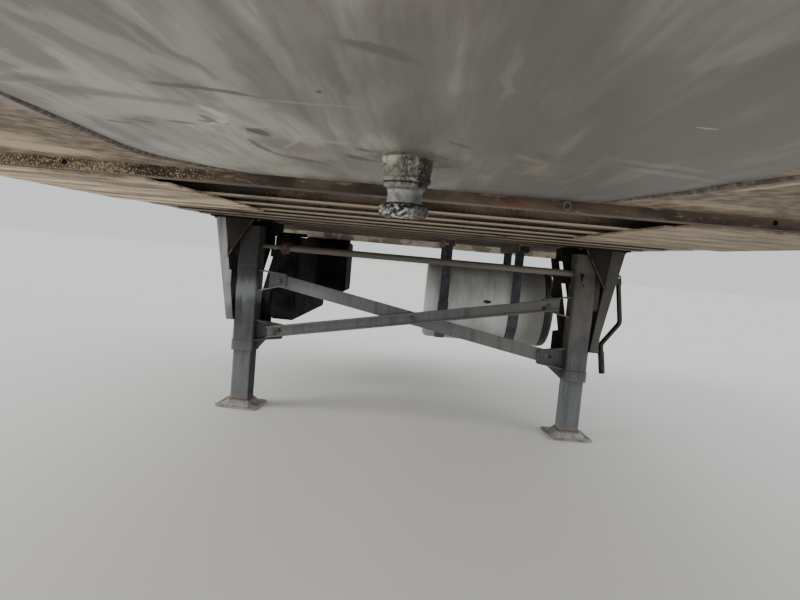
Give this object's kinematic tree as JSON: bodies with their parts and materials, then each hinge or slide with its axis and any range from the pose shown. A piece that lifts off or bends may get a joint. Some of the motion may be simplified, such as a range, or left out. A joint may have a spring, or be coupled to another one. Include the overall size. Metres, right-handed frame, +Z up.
{
  "type": "semi trailer front underframe section",
  "caption": "Front underframe of a semi trailer: coupler plate with kingpin, crossmembers, side rails, landing gear with braces and folding crank, strapped fuel tank.",
  "frame": {"origin": "on the kingpin's axis, at the underside of the coupler plate", "axes": "+X forward towards the tractor, +Y to the trailer's left (road side), +Z up"},
  "size_m": [5.335, 2.59, 1.287],
  "materials": {
    "underframe_steel": "dusty tan-grey steel",
    "black_box": "black, dusty",
    "gear_paint": "charcoal paint, dusty",
    "greased_steel": "mid-grey steel smeared with grease",
    "crank_black": "glossy black",
    "bright_steel": "worn",
    "oak": "dull boards",
    "foot_steel": "grey paint gone to rust and dirt",
    "tank_aluminium": "brushed, dull",
    "dusty_panel": "sandy dust over paint",
    "greased_pin": "steel under lumpy grey grease",
    "light_beam": "light paint, dusty",
    "rail_aluminium": "weathered",
    "strap_steel": "dark blue-grey"
  },
  "bodies": {
    "underframe": {"aft_bolster": "underframe_steel", "aft_box": "black_box", "box_hangers": "black_box", "brace_bracket_lower_left": "gear_paint", "brace_bracket_lower_right": "gear_paint", "brace_bracket_upper_left": "gear_paint", "brace_bracket_upper_right": "gear_paint", "coupler_plate": "greased_steel", "coupler_strip": "underframe_steel", "crank_shaft": "bright_steel", "cross_shaft": "gear_paint", "crossmember_01": "underframe_steel", "crossmember_02": "underframe_steel", "crossmember_03": "underframe_steel", "crossmember_04": "underframe_steel", "crossmember_05": "underframe_steel", "crossmember_06": "underframe_steel", "crossmember_07": "underframe_steel", "crossmember_08": "underframe_steel", "crossmember_09": "underframe_steel", "crossmember_10": "underframe_steel", "crossmember_11": "underframe_steel", "floor_boards": "oak", "foot_left": "foot_steel", "foot_right": "foot_steel", "front_brace": "gear_paint", "fuel_tank": "tank_aluminium", "gearbox": "gear_paint", "gusset_panel_left": "dusty_panel", "gusset_panel_right": "dusty_panel", "hanger_plate_left": "gear_paint", "hanger_plate_right": "gear_paint", "inner_tube_left": "gear_paint", "inner_tube_right": "gear_paint", "kingpin": "greased_pin", "leg_gusset_left": "gear_paint", "leg_gusset_right": "gear_paint", "leg_strut_left": "gear_paint", "leg_strut_right": "gear_paint", "mount_plate_left": "gear_paint", "mount_plate_right": "gear_paint", "nose_channel": "underframe_steel", "outer_tube_left": "gear_paint", "outer_tube_right": "gear_paint", "outrigger_left": "gear_paint", "outrigger_right": "gear_paint", "rear_beam": "light_beam", "rear_brace": "gear_paint", "rear_crossmember": "underframe_steel", "shaft_guard": "gear_paint", "side_box": "black_box", "side_rail_left": "rail_aluminium", "side_rail_right": "rail_aluminium", "tank_rail_inner": "underframe_steel", "tank_rail_outer": "underframe_steel", "tank_strap_inner": "strap_steel", "tank_strap_outer": "strap_steel"},
    "crank": {"crank": "crank_black"}
  },
  "joints": [
    {"name": "crank_fold", "type": "hinge", "parent": "underframe", "child": "crank", "pos_m": [-2.587, 1.162, -0.16], "axis": [1, 0, 0], "range_deg": [0, 81.5]}
  ]
}
